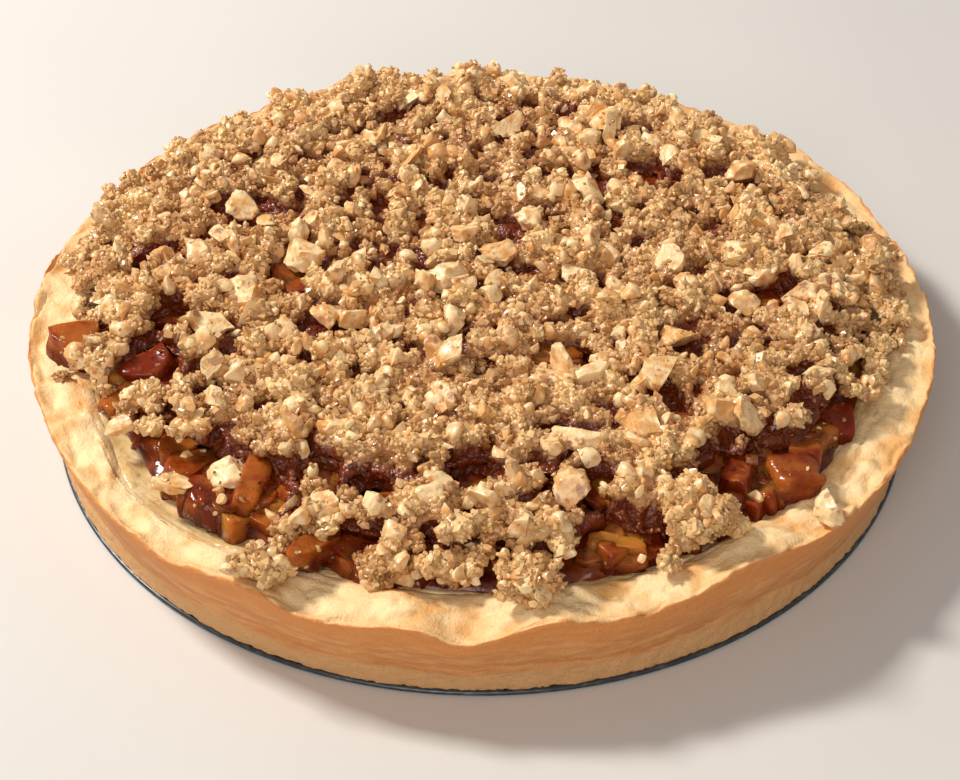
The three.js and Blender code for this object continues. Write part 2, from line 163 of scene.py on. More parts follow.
class Finish:
    """One material: a principled shader and the nodes that feed it."""

    def __init__(self, name, **shader):
        self.material = bpy.data.materials.new(name)
        self.material.use_nodes = True
        self.tree = self.material.node_tree
        self.shader = self.tree.nodes["Principled BSDF"]
        self.set(**shader)
        self.at = self.node("ShaderNodeTexCoord", output="Object")

    def feed(self, socket, value):
        if isinstance(value, Amount):
            self.tree.links.new(value.socket, socket)
        elif isinstance(value, tuple) and len(value) == 3 and socket.type == "RGBA":
            socket.default_value = (*value, 1)
        else:
            socket.default_value = value

    def node(self, kind, settings=None, inputs=None, output=0):
        made = self.tree.nodes.new(kind)
        for name, value in (settings or {}).items():
            setattr(made, name, value)
        for name, value in (inputs or {}).items():
            self.feed(made.inputs[name], value)
        return Amount(self, made.outputs[output])

    def set(self, **sockets):
        """Sets or links the shader's own sockets, named with underscores for spaces."""
        for name, value in sockets.items():
            self.feed(self.shader.inputs[name.replace("_", " ").title().replace("Ior", "IOR")], value)

    def attribute(self, name):
        return self.node("ShaderNodeAttribute", {"attribute_name": name}, output="Fac")

    def height(self):
        """How high a point lies above the floor, in millimetres."""
        return self.node("ShaderNodeSeparateXYZ", inputs={0: self.at}, output="Z") * 1000

    def stretched(self, scale):
        """The object's coordinates, each times its own number."""
        return self.node("ShaderNodeMapping", inputs={"Vector": self.at, "Scale": scale})

    def noise(self, width, detail=2.0, roughness=0.5, at=None):
        """Soft noise whose blotches are about width millimetres across."""
        return self.node("ShaderNodeTexNoise", inputs={
            "Vector": at or self.at, "Scale": 1000 / width, "Detail": detail, "Roughness": roughness})

    def cells(self, width):
        """The distance to the nearest of many points that lie about width millimetres apart."""
        return self.node("ShaderNodeTexVoronoi", inputs={"Vector": self.at, "Scale": 1000 / width})

    def blend(self, share, first, second):
        """The first colour where share is 0 and the second where it is 1."""
        return self.node("ShaderNodeMix", {"data_type": "RGBA"}, {0: share, 6: first, 7: second}, 2)

    def bump(self, height, depth, under=None):
        """A normal for relief of this depth in millimetres, on top of another if one is given."""
        inputs = {"Height": height, "Distance": depth / 1000}
        if under:
            inputs["Normal"] = under
        return self.node("ShaderNodeBump", inputs=inputs)


# %% [markdown]
# ## Pieces
# Every piece is modelled in millimetres, and its mesh is scaled to metres when it is finished.
# It rides on the tart's one body and may stand for one or more of the frame's solids.

# %% Piece helpers
MM = 0.001
GOLDEN_ANGLE = math.pi * (3 - math.sqrt(5))
BODY = "root"


def mix(low, high, share):
    return low + (high - low) * share


def smooth(low, high, value):
    share = min(1.0, max(0.0, (value - low) / (high - low)))
    return share * share * (3 - 2 * share)


def draw(index, channel):
    """A number from 0 to 1 that is always the same for one index and channel."""
    wave = math.sin(index * 12.9898 + channel * 78.233) * 43758.5453
    return wave - math.floor(wave)


def uneven(x, y, z, seed=0.0):
    """Soft noise from -1 to 1 at a point."""
    return noise.noise(Vector((x + 17.3 * seed, y - 9.1 * seed, z + 3.7 * seed)))


def add_piece(name, mesh, finish, stands_for=()):
    """Links a mesh as a piece of the tart, with its finish, and hides the solids it replaces."""
    made = bpy.data.objects.new(name, mesh)
    mesh.materials.clear()
    mesh.materials.append(finish.material)
    scene.collection.objects.link(made)
    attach(made, BODY)
    if stands_for:
        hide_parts(*stands_for)
    print(f"{name}: {sum(len(face.vertices) - 2 for face in mesh.polygons)} triangles")


def mesh_of(name, bm):
    """Turns a bmesh into a mesh."""
    mesh = bpy.data.meshes.new(name)
    bm.to_mesh(mesh)
    bm.free()
    return mesh


def finished_mesh(name, bm):
    """Turns a bmesh in millimetres into a smooth mesh in metres with its faces pointing outwards."""
    bmesh.ops.recalc_face_normals(bm, faces=bm.faces)
    bmesh.ops.scale(bm, vec=(MM, MM, MM), verts=bm.verts)
    for face in bm.faces:
        face.smooth = True
    return mesh_of(name, bm)


def turned(section, steps):
    """A closed body of revolution: a section from axis to axis, spun round Z. Its points keep how
    many millimetres along the section they lie, for the finish to read."""
    bm = bmesh.new()
    along = bm.verts.layers.float.new("along")
    corners = []
    for place, (radius, height) in enumerate(section):
        corner = bm.verts.new((radius, 0, height))
        if corners:
            corner[along] = corners[-1][along] + math.dist(section[place - 1], section[place])
        corners.append(corner)
    edges = [bm.edges.new(pair) for pair in zip(corners, corners[1:])]
    bmesh.ops.spin(
        bm, geom=corners + edges, cent=(0, 0, 0), axis=(0, 0, 1), angle=2 * math.pi,
        steps=steps, use_merge=True, use_duplicate=False)
    bmesh.ops.remove_doubles(bm, verts=bm.verts, dist=0.001)
    return bm


def softened(line, rounds):
    """Cuts the corners of a line of points, each round halving how sharp they are."""
    for _ in range(rounds):
        cut = [line[0]]
        for (x0, y0), (x1, y1) in zip(line, line[1:]):
            cut.append((mix(x0, x1, 0.25), mix(y0, y1, 0.25)))
            cut.append((mix(x0, x1, 0.75), mix(y0, y1, 0.75)))
        line = cut + [line[-1]]
    return line


def reshape(bm, move):
    """Puts every point of a bmesh where move says, which is given the corner itself."""
    bm.normal_update()
    moved = [move(corner) for corner in bm.verts]
    for corner, place in zip(bm.verts, moved):
        corner.co = place


def polar(corner):
    """A corner's distance from the axis and its angle round it."""
    return math.hypot(corner.co.x, corner.co.y), math.atan2(corner.co.y, corner.co.x)


# %% [markdown]
# ## The floor
# A plain pale table. It is staged, because it isn't part of the tart.

# %% Floor
FLOOR_REACH = 3000
FLOOR_DROP = 0.02  # keeps the floor out of the plane of the tin's underside

bm = bmesh.new()
bmesh.ops.create_grid(bm, x_segments=1, y_segments=1, size=FLOOR_REACH)
bmesh.ops.translate(bm, vec=(0, 0, -FLOOR_DROP), verts=bm.verts)
floor = bpy.data.objects.new("floor", finished_mesh("floor", bm))
scene.collection.objects.link(floor)
table_top = Finish("table_top", roughness=0.7)
table_top.set(base_color=table_top.blend(
    table_top.noise(60, detail=0), (0.66, 0.645, 0.62), (0.69, 0.675, 0.65)))
floor.data.materials.append(table_top.material)

# %% [markdown]
# ## The tin's loose base
# The tart stands on the disc that it was baked on. What shows is its rolled edge: a bead of dark
# coated steel with a shallow gutter inside it. A section spun round the axis makes it.

# %% Tin base
LIP_RADIUS = 124.3
LIP_HEIGHT = 1.5
PLATE_THICKNESS = 1.0
BEAD = LIP_HEIGHT / 2
GUTTER = 0.4
EDGE_WIDTH = 12
PLATE_STEPS = 288

bead_arc = [
    (LIP_RADIUS - BEAD + BEAD * math.cos(turn), BEAD + BEAD * math.sin(turn))
    for turn in [math.radians(degrees) for degrees in range(-90, 181, 15)]
]
plate_section = [(0, 0), (LIP_RADIUS - EDGE_WIDTH, 0), *bead_arc]
plate_section += [(LIP_RADIUS - 2 * BEAD - GUTTER, PLATE_THICKNESS), (0, PLATE_THICKNESS)]
bm = turned(plate_section, PLATE_STEPS)

steel = Finish("coated_steel", metallic=0.6, roughness=0.3)
scuffs = steel.noise(3, detail=5, at=steel.stretched((1, 1, 4)))
steel.set(
    base_color=steel.blend(scuffs.step(0.45, 0.75), (0.06, 0.07, 0.08), (0.14, 0.16, 0.18)),
    roughness=scuffs * 0.25 + 0.2,
    normal=steel.bump(steel.noise(1.2, detail=3), 0.03))
add_piece("base_of_tin", finished_mesh("base_of_tin", bm), steel, ["tin_base"])

# %% [markdown]
# ## The pastry shell
# Shortcrust pressed into a plain tin by hand: the wall took the tin's smooth slope, and the rim
# took the fingers. So the shell starts as a section spun round the axis, and then every point is
# moved by the same presses as in the solid, by the mounds between the fingers, by the streaks
# that the tin left on the wall and by the crumbly foot.

# %% Shell: section
RIM_RADIUS = 129.5
RIM_HEIGHT = 28.6
FOOT_RADIUS = 121.9
CUSTARD_RADIUS = 111.5
CREASE_HEIGHT = 8.6
UNDERSIDE = 1.3
PASTRY_TOP = 6.3
CUSTARD_LEVEL = 24.0
SHELL_STEPS = 900
COVERED_RADIUS = 105  # nearer to the axis than this, the filling covers the dough

foot = [
    (-1, UNDERSIDE), (1.9, 1.4), (1.9, 2.2), (1.8, 4.2), (1.8, 6.4), (1.7, 7.8),
    (1.2, CREASE_HEIGHT), (1.7, 9.6),
]
outer_wall = [(FOOT_RADIUS + out, height) for out, height in foot]
outer_wall += [
    (124.2, 11.5), (125.2, 14), (126.6, 18), (127.8, 21.5), (128.7, 24.5), (129.0, 26.2),
    (129.6, 27.2), (129.6, 28.3),
]
rim_top = [
    (128.9, RIM_HEIGHT + 0.1), (127.6, 28.4), (124.5, 28.0), (120.5, 27.8), (117, 27.4), (114.5, 26.6),
    (112.6, 25.4), (111.3, 23.8), (110.2, 20.5),
]
visible = softened(outer_wall + rim_top, 2)
shell_section = [(0, UNDERSIDE), (60, UNDERSIDE), *visible]
shell_section += [(CUSTARD_RADIUS - 2.5, 16.8), (CUSTARD_RADIUS - 5, PASTRY_TOP), (0, PASTRY_TOP)]
FOOT_AT = visible[0][0]
crest = max(range(len(visible)), key=lambda place: visible[place][1])
CREST_AT = FOOT_AT + sum(math.dist(*pair) for pair in zip(visible[:crest], visible[1:crest + 1]))
print("shell section:", len(shell_section), "points")

# %% Shell: the presses of the hand
RIM_LIFTS = [  # each at an angle, over a width, by a height
    (-128, 6, -1.8), (-118, 6, 1.2), (-109, 5, -1.2), (-99, 4, 1.8), (-92, 4, -2.6), (-82, 4, 2.2),
    (-72, 5, -1.0), (-57, 7, 2.8), (-26, 9, -1.6), (4, 8, -1.2), (33, 12, 1.6), (118, 9, 1.4),
    (160, 8, -1.4), (174, 6, 2.0),
]


def bell(angle, at, width):
    """1 where an angle is at this many degrees, and falling away over this width."""
    gap = abs((math.degrees(angle) - at + 540) % 360 - 180)
    return math.exp(-((gap / width) ** 2))


def rim_lift(angle):
    """How far the rim is pressed up or down at an angle."""
    pressed = sum(lift * bell(angle, at, width) for at, width, lift in RIM_LIFTS)
    return pressed + 0.5 * math.sin(5 * angle + 1) + 0.3 * math.sin(11 * angle)


def rim_reach(angle):
    """How far the rim's edge is pushed out at an angle."""
    return 0.5 * math.sin(3 * angle + 0.6) + 0.4 * math.sin(8 * angle + 2) - 0.25 * rim_lift(angle)


def custard_reach(angle):
    """How much further out the custard reaches at an angle, where the rim is thin."""
    return 6 * bell(angle, -136, 15)


def wall_relief(x, y, z, angle):
    """Relief of the wall: soft streaks, the crease, and the crumbly foot that laps over the tin."""
    streaks = uneven(angle * 6, z / 2.4, 0, 4) + 0.4 * uneven(angle * 20, z / 1.5, 0, 5)
    crease = math.exp(-(((z - CREASE_HEIGHT) / 0.5) ** 2)) * (0.6 + 0.7 * uneven(angle * 14, 0, 0, 6))
    foot = smooth(CREASE_HEIGHT, CREASE_HEIGHT - 1, z)
    ragged = uneven(x / 2.6, y / 2.6, z / 2.6, 8) + 0.7 * uneven(x / 1.1, y / 1.1, z / 1.1, 9)
    lap = 0.1 + 0.5 * bell(angle, -75, 40)
    return 0.2 * streaks * (1 - foot) - 0.5 * crease + foot * (lap + 0.4 * ragged)


def top_lift(x, y, radius, angle):
    """Lift of the rim's top: mounds between the fingers, folds, and pits behind the lip."""
    mounds = uneven(x / 13, y / 13, 0, 1) + 0.65 * uneven(x / 6, y / 6, 0, 2)
    crease = abs(uneven(angle * 8, radius / 5, 0, 7))
    fold = smooth(0.11, 0, crease) * smooth(113, 119, radius)
    pit = math.exp(-(((radius - 126) / 2.0) ** 2)) * smooth(-0.15, 0.45, uneven(angle * 9, 0, 0, 10))
    puckers = 0.45 * uneven(x / 3, y / 3, 0, 14)
    return (1.7 * mounds + puckers) * smooth(110, 116, radius) - 0.9 * fold - 1.8 * pit


def press(corner):
    """Where a point of the spun shell goes once the dough is pressed, streaked and chipped."""
    x, y, z = corner.co
    radius, angle = polar(corner)
    if radius < COVERED_RADIUS or z < UNDERSIDE + 0.1:
        return corner.co.copy()
    outside = smooth(-2, 0, radius - mix(FOOT_RADIUS, RIM_RADIUS, z / 27)) * smooth(29, 28.1, z)
    share = mix(smooth(111, 122, radius), smooth(8, 26, z) ** 1.5, outside)
    grain = 0.10 * uneven(x / 2, y / 2, z / 2, 3)
    lip = math.exp(-(((z - 28) / 1.0) ** 2)) * smooth(127, 129, radius)
    wave = 0.8 * uneven(angle * 14, 0, 0, 11) + 0.7 * uneven(angle * 48, 0, 0, 12)
    moved = corner.co + corner.normal * (grain + outside * wall_relief(x, y, z, angle))
    outward = share * rim_reach(angle) + 0.7 * lip * wave
    outward += (1 - outside) * smooth(121, 114, radius) * custard_reach(angle)
    moved += Vector((math.cos(angle), math.sin(angle), 0)) * outward
    moved.z += share * rim_lift(angle) + (1 - outside) * top_lift(x, y, radius, angle) + lip * wave
    hem = smooth(4, 1.6, z) * outside
    moved.z += hem * (0.8 * max(0, uneven(angle * 60, 0, 0, 13) - 0.1) - 0.7 * bell(angle, -75, 35))
    return moved


bm = turned(shell_section, SHELL_STEPS)
reshape(bm, press)
shell_mesh = finished_mesh("shell", bm)

# %% [markdown]
# ## The finish of baked pastry
# Baking browns what stands out and what touched the tin: the wall just under the rim's edge is
# orange brown, the rest of the wall is tan, the foot where the dough was thick stays pale and
# grainy, and the broad top of the rim is cream with golden blotches. Just behind the lip the same
# golden brown is painted shade in the pits there. How far along the section a point lies tells the
# finish where it is, and noise breaks every border.

# %% Shell: finish
pastry = Finish("baked_pastry", roughness=0.62, subsurface_weight=0.25, subsurface_scale=0.0015)
pastry.set(subsurface_radius=(1.0, 0.75, 0.5), specular_ior_level=0.35)
from_foot = pastry.attribute("along") - FOOT_AT + (pastry.noise(14, detail=2) - 0.5) * 5
wall_streaks = pastry.noise(9, detail=2, at=pastry.stretched((1, 1, 4)))
blotches = pastry.noise(11, detail=2)
freckles = pastry.noise(1.0, detail=1)
grain = pastry.noise(0.8, detail=2, roughness=0.65)

FOOT_PALE = (0.66, 0.37, 0.16)
WALL_TAN = (0.62, 0.25, 0.08)
WALL_LIGHT = (0.74, 0.36, 0.13)
EDGE_BROWN = (0.68, 0.26, 0.065)
TOP_CREAM = (0.96, 0.71, 0.39)
TOP_GOLD_AND_SHADE = (0.82, 0.45, 0.16)
FRECKLE = (0.36, 0.15, 0.04)
CHARRED = (0.02, 0.014, 0.01)

colour = pastry.blend(wall_streaks.step(0.35, 0.7), WALL_TAN, WALL_LIGHT)
colour = pastry.blend(blotches.step(0.55, 0.75) * 0.4, colour, EDGE_BROWN)
colour = pastry.blend(from_foot.step(10.5, 7.5), colour, FOOT_PALE)
colour = pastry.blend(from_foot.step(18, 27) * 0.8, colour, EDGE_BROWN)
behind_crest = pastry.attribute("along") - CREST_AT + (pastry.noise(5, detail=1) - 0.5) * 2
top_colour = pastry.blend(blotches.step(0.44, 0.70), TOP_CREAM, TOP_GOLD_AND_SHADE)
# painted shade: golden brown in the pits just behind the lip
top_colour = pastry.blend(behind_crest.step(5, 0.5) * 0.5, top_colour, TOP_GOLD_AND_SHADE)
colour = pastry.blend(behind_crest.step(-0.9, -0.1), colour, top_colour)
colour = pastry.blend(freckles.step(0.68, 0.78) * 0.4, colour, FRECKLE)
scorch = pastry.height().step(1.9, 1.4) * pastry.noise(1.8, detail=1).step(0.46, 0.56)
colour = pastry.blend(scorch, colour, CHARRED)
pastry.set(
    base_color=colour,
    roughness=0.52 + grain * 0.25,
    normal=pastry.bump(grain, 0.35, pastry.bump(pastry.noise(2.6, detail=2), 0.4)))
add_piece("shell", shell_mesh, pastry, ["crust"])

# %% [markdown]
# ## The custard
# Set custard lies flat, laps a little way up the rim and looks wet. It shows at the front left,
# where the apple was not spread to the edge.

# %% Custard
FILLING_STEPS = 300
CUSTARD_CREAM = (0.88, 0.67, 0.36)
CUSTARD_GOLD = (0.78, 0.53, 0.22)

custard_section = [(0, PASTRY_TOP + 0.3), (106.2, PASTRY_TOP + 0.3), (108.7, 16.8)]
custard_section += softened([
    (111.2, 22), (113.2, 24.6), (113, 25.4), (111.4, 25.2), (109, CUSTARD_LEVEL + 0.3),
    (105, CUSTARD_LEVEL), (98, CUSTARD_LEVEL), (88, CUSTARD_LEVEL)], 2)
custard_section += [(60, CUSTARD_LEVEL), (0, CUSTARD_LEVEL)]


def set_custard(corner):
    """Where a point of the custard goes, with its soft lumps, and wider where the rim is thin."""
    x, y, z = corner.co
    radius, angle = polar(corner)
    top = smooth(20, 24, z) * smooth(80, 90, radius)
    lumps = 0.6 * uneven(x / 9, y / 9, 0, 21) + 0.3 * uneven(x / 4, y / 4, 0, 22)
    scale = 1 + smooth(95, 106, radius) * custard_reach(angle) / CUSTARD_RADIUS
    return Vector((x * scale, y * scale, z + top * lumps))


bm = turned(custard_section, FILLING_STEPS)
reshape(bm, set_custard)
custard = Finish("set_custard", roughness=0.2, subsurface_weight=0.3, subsurface_scale=0.002)
custard.set(subsurface_radius=(1.0, 0.8, 0.5), coat_weight=1.0, coat_roughness=0.04)
custard.set(
    base_color=custard.blend(custard.noise(7, detail=3).step(0.3, 0.7), CUSTARD_CREAM, CUSTARD_GOLD),
    normal=custard.bump(custard.noise(2.2, detail=2), 0.5, custard.bump(custard.noise(6), 1.6)))
add_piece("custard_layer", finished_mesh("custard_layer", bm), custard, ["custard"])

# %% [markdown]
# ## The apple layer
# Between its pieces the apple layer is dark syrup: a spun body whose top swells and dips, and
# whose edge runs in and out over the custard.

# %% Apple layer
APPLE_TOP = 27.6
APPLE_EDGE = 111.5
PATCH_MARGIN = 1.5  # how far round a bare patch the apple reaches and the lumps stay low
SYRUP_BLACK = (0.07, 0.006, 0.002)
SYRUP_AMBER = (0.26, 0.05, 0.01)
BARE_PATCHES = [  # where no crumble lies: x, y and radius
    (-76, -84, 13), (-58, -84, 8), (-42, -79, 6), (-28, -86, 7), (-2, -82, 7.5), (13, -84, 7),
    (31, -86, 7), (33, -102, 8), (54, -64, 6.5), (63, -80, 9.5), (82, -76, 12), (97, -59, 8),
    (25, -33, 6), (83, -8, 6.5), (50, 55, 5), (-112, -24, 8), (-92, -36, 9), (-87, -14, 6),
    (-97, 14, 5), (-55, 4, 5.5), (-34, -107, 5),
]
apple_section = [(0, CUSTARD_LEVEL - 0.3), (70, CUSTARD_LEVEL - 0.3)]
apple_section += softened([
    (APPLE_EDGE - 3, CUSTARD_LEVEL - 0.3), (APPLE_EDGE, CUSTARD_LEVEL + 0.4),
    (APPLE_EDGE - 0.6, APPLE_TOP - 1.6), (APPLE_EDGE - 4, APPLE_TOP - 0.6),
    (APPLE_EDGE - 12, APPLE_TOP)], 2)
apple_section += [(radius, APPLE_TOP) for radius in range(98, 0, -3)] + [(0, APPLE_TOP)]


def apple_level(radius):
    """How high apple and syrup stand where no crumble lies on them: lower towards the rim."""
    return mix(34.5, 28.6, smooth(62, 112, radius))


def swell(corner):
    """Where a point of the apple layer goes: its edge runs in and out, and it fills the patches."""
    x, y, z = corner.co
    radius, angle = polar(corner)
    top = smooth(CUSTARD_LEVEL, APPLE_TOP - 1, z)
    runs = 1.6 * math.sin(7 * angle) + 3.0 * uneven(angle * 7, 0, 0, 31) - 0.5 * custard_reach(angle)
    scale = 1 + smooth(95, 110, radius) * runs / APPLE_EDGE
    swelling = 1.5 * uneven(x / 8, y / 8, 0, 32) + 0.5 * uneven(x / 3.5, y / 3.5, 0, 33)
    well = max(smooth(edge + 1, edge - 2, math.hypot(x - px, y - py)) for px, py, edge in BARE_PATCHES)
    lift = swelling + well * (apple_level(radius) - APPLE_TOP)
    return Vector((x * scale, y * scale, z + top * lift))


bm = turned(apple_section, FILLING_STEPS)
reshape(bm, swell)
syrup = Finish("syrup", roughness=0.2, specular_ior_level=0.4, coat_weight=0.2, coat_roughness=0.05)
syrup.set(
    base_color=syrup.blend(syrup.noise(7, detail=3).step(0.35, 0.7), SYRUP_BLACK, SYRUP_AMBER),
    normal=syrup.bump(syrup.noise(1.3, detail=2), 0.10, syrup.bump(syrup.noise(4, detail=2), 0.6)))
add_piece("syrup_layer", finished_mesh("syrup_layer", bm), syrup, ["apple_filling"])

# %% [markdown]
# ## Things that were cut with a knife
# Diced apple and chopped nuts are both made the way the cook made them: a round or square
# blank, then flat cuts. A bisecting plane takes each slice off, the hole is capped, and the cut
# edges of the apple and of the larger nut pieces are bevelled, widely on apple that has cooked soft.

# %% Cutting a blank
def cut_away(bm, direction, depth):
    """Takes off what lies further out than depth in a direction, and caps the cut."""
    made = bmesh.ops.bisect_plane(
        bm, geom=bm.verts[:] + bm.edges[:] + bm.faces[:], plane_co=direction * depth,
        plane_no=direction, clear_outer=True)
    rim = [part for part in made["geom_cut"] if isinstance(part, bmesh.types.BMEdge)]
    if rim:
        bmesh.ops.contextual_create(bm, geom=rim)


def direction_of(seed, cut):
    """A direction that is always the same for one seed and cut."""
    height = 1 - 2 * draw(seed, 60 + cut)
    turn = cut * GOLDEN_ANGLE + 6 * draw(seed, 70 + cut)
    flat = math.sqrt(1 - height * height)
    return Vector((flat * math.cos(turn), flat * math.sin(turn), height))


def blunt(bm, offset):
    """Rounds off the edges between the cuts."""
    bmesh.ops.dissolve_limit(bm, angle_limit=0.1, verts=bm.verts, edges=bm.edges)
    sharp = [edge for edge in bm.edges if edge.is_manifold and edge.calc_face_angle() > 0.5]
    bmesh.ops.bevel(
        bm, geom=sharp, offset=offset, offset_type="OFFSET", segments=2, profile=0.5,
        affect="EDGES", material=-1, clamp_overlap=True)


def refine(bm, longest):
    """Halves every edge that is longer than this, twice over, and leaves only triangles."""
    for _ in range(2):
        bmesh.ops.triangulate(bm, faces=bm.faces)
        long_edges = [edge for edge in bm.edges if edge.calc_length() > longest]
        bmesh.ops.subdivide_edges(bm, edges=long_edges, cuts=1)
    bmesh.ops.triangulate(bm, faces=bm.faces)


def relax(bm):
    """Moves every point halfway to the middle of its neighbours."""
    bmesh.ops.smooth_vert(
        bm, verts=bm.verts, factor=0.5, use_axis_x=True, use_axis_y=True, use_axis_z=True)


def ripple(bm, seed, *waves):
    """Makes the faces swell and dip by waves, each with its depth and how closely they follow."""
    for corner in bm.verts:
        corner.co *= sum((depth * uneven(*(corner.co * often), seed) for depth, often in waves), 1)


def unit_shape(name, bm):
    """A mesh of a shape that is brought to unit size round the origin."""
    bmesh.ops.triangulate(bm, faces=bm.faces)
    low = Vector([min(corner.co[axis] for corner in bm.verts) for axis in range(3)])
    high = Vector([max(corner.co[axis] for corner in bm.verts) for axis in range(3)])
    bmesh.ops.translate(bm, vec=-(low + high) / 2, verts=bm.verts)
    bmesh.ops.scale(bm, vec=[1 / side for side in high - low], verts=bm.verts)
    bmesh.ops.recalc_face_normals(bm, faces=bm.faces)
    return mesh_of(name, bm)


# %% [markdown]
# ## The apple pieces
# The apple was diced, then cooked until its corners went round and its flesh turned amber and
# half clear. Every piece is one of three blocks and three half-moon slices, at its own size and
# turn. The large ones lie where the solid has them, and others fill the gaps and the edge.

# %% Apple shapes
def cooked(mesh_name, bm, seed):
    """Softens a cut piece as cooking does: its edges go round, and its faces swell and dip."""
    blunt(bm, 0.13)
    refine(bm, 0.22)
    relax(bm)
    relax(bm)
    ripple(bm, seed, (0.22, 2.2), (0.09, 6))
    return unit_shape(mesh_name, bm)


def apple_block(seed):
    bm = bmesh.new()
    bmesh.ops.create_cube(bm, size=1)
    for cut in range(3):
        cut_away(bm, direction_of(seed, cut), mix(0.44, 0.6, draw(seed, 90 + cut)))
    return cooked(f"apple_block_{seed}", bm, seed)


def apple_slice(seed):
    bm = bmesh.new()
    bmesh.ops.create_cone(bm, cap_ends=True, segments=14, radius1=0.5, radius2=0.46, depth=0.4)
    cut_away(bm, Vector((0, 1, mix(-0.4, 0.4, draw(seed, 1)))).normalized(), 0.08)
    cut_away(bm, Vector((1, 0, 0)), mix(0.3, 0.45, draw(seed, 2)))
    return cooked(f"apple_slice_{seed}", bm, seed)


apple_shapes = [apple_block(seed) for seed in (3, 5, 8)] + [apple_slice(seed) for seed in (4, 6, 9)]
print("apple shapes:", [len(shape.polygons) for shape in apple_shapes], "faces")

# %% [markdown]
# Many small things are made as one joined mesh: the points of a shape are repeated in an array,
# and each copy is turned, sized and placed there. Two numbers are kept on the points for the
# finish: the copy's tone, lighter or darker than the next, and the point's rise, how many
# millimetres it lies above the copy's middle.

# %% Joining many copies
def triangles_of(mesh):
    """A mesh's points and triangles as arrays."""
    mesh.calc_loop_triangles()
    points = np.empty(len(mesh.vertices) * 3)
    mesh.vertices.foreach_get("co", points)
    sides = np.empty(len(mesh.loop_triangles) * 3, dtype=np.int64)
    mesh.loop_triangles.foreach_get("vertices", sides)
    return points.reshape(-1, 3), sides.reshape(-1, 3)


def scattered_mesh(name, shapes, places, sizes, turns, tones, crisp=180):
    """One mesh of many copies of the shapes, each in its turn. It is shaded smooth, except at
    edges that turn by more than crisp degrees."""
    points, faces, tone, rise, start = [], [], [], [], 0
    for kind, shape in enumerate(shapes):
        chosen = np.arange(len(places)) % len(shapes) == kind
        corners, sides = triangles_of(shape)
        sized = corners[None] * sizes[chosen][:, None, :]
        placed = np.einsum("nij,nvj->nvi", turns[chosen], sized) + places[chosen][:, None, :]
        shifts = start + np.arange(len(placed)) * len(corners)
        points.append(placed.reshape(-1, 3))
        faces.append((sides[None] + shifts[:, None, None]).reshape(-1, 3))
        tone.append(np.repeat(tones[chosen], len(corners)))
        rise.append((placed[:, :, 2] - places[chosen][:, 2:]).ravel())
        start += placed.shape[0] * placed.shape[1]
    points, faces, tone = np.concatenate(points) * MM, np.concatenate(faces), np.concatenate(tone)
    mesh = bpy.data.meshes.new(name)
    mesh.vertices.add(len(points))
    mesh.vertices.foreach_set("co", points.ravel())
    mesh.loops.add(faces.size)
    mesh.loops.foreach_set("vertex_index", faces.ravel())
    mesh.polygons.add(len(faces))
    mesh.polygons.foreach_set("loop_start", np.arange(0, faces.size, 3))
    mesh.polygons.foreach_set("use_smooth", np.full(len(faces), True))
    mesh.attributes.new("tone", "FLOAT", "POINT").data.foreach_set("value", tone)
    mesh.attributes.new("rise", "FLOAT", "POINT").data.foreach_set("value", np.concatenate(rise))
    mesh.update(calc_edges=True)
    mesh.validate()
    mesh.set_sharp_from_angle(angle=math.radians(crisp))
    return mesh


# %% Apple places
RING_APPLES = 96
FREE_APPLES = [  # the large ones: x, y, z, size, turn and tilt
    (82, -75, 29, (15, 13, 12), 12, 8), (68, -74, 30, (9, 17, 11), -20, -10),
    (-43, -103, 30.5, (20, 7.5, 9), 48, 14), (-114, -20, 30, (16, 13, 10), 20, 4),
    (-91, -34, 31, (15, 13, 12), 35, -12), (-71, -84, 29, (17, 11, 9), -25, 6),
    (-60, -80, 30.5, (8, 19, 12), -12, 10), (34, -100, 29, (17, 6.5, 8), -6, 0),
]

rng = np.random.default_rng(7)
apples = list(FREE_APPLES)
for x, y, radius in BARE_PATCHES:
    for _ in range(max(3, round((radius / 4.0) ** 2))):
        reach, around = (radius + PATCH_MARGIN) * math.sqrt(rng.random()), rng.random() * 2 * math.pi
        place = Vector((x + reach * math.cos(around), y + reach * math.sin(around)))
        size = (rng.uniform(11, 18), rng.uniform(9, 14), rng.uniform(7, 10))
        place *= min(1, (APPLE_EDGE + 1 - 0.45 * size[0]) / place.length)
        height = apple_level(place.length) + rng.uniform(-3.5, -0.5)
        apples.append((*place, height, size, rng.uniform(0, 360), rng.uniform(-18, 18)))
for k in range(RING_APPLES):
    angle = 2 * math.pi * k / RING_APPLES - math.pi
    size = (rng.uniform(10, 16), rng.uniform(8, 12), rng.uniform(6, 9))
    radius = APPLE_EDGE + 1 - 0.45 * size[0] - rng.uniform(0, 9)
    apples.append((
        radius * math.cos(angle), radius * math.sin(angle), rng.uniform(25, 27.5), size,
        rng.uniform(0, 360), rng.uniform(-15, 15)))

places = np.array([apple[:3] for apple in apples], float)
sizes = np.array([apple[3] for apple in apples], float)
turns = np.array([
    (Matrix.Rotation(math.radians(turn), 3, "Z") @ Matrix.Rotation(math.radians(tilt), 3, "Y"))
    for *_, turn, tilt in apples])
print("apple pieces:", len(apples))

# %% Apple finish
FLESH_DARK = (0.32, 0.036, 0.007)
FLESH_AMBER = (0.66, 0.19, 0.026)
FLESH_BRIGHT = (0.82, 0.28, 0.04)
FLESH_SOAKED_AND_SHADED = (0.16, 0.010, 0.004)

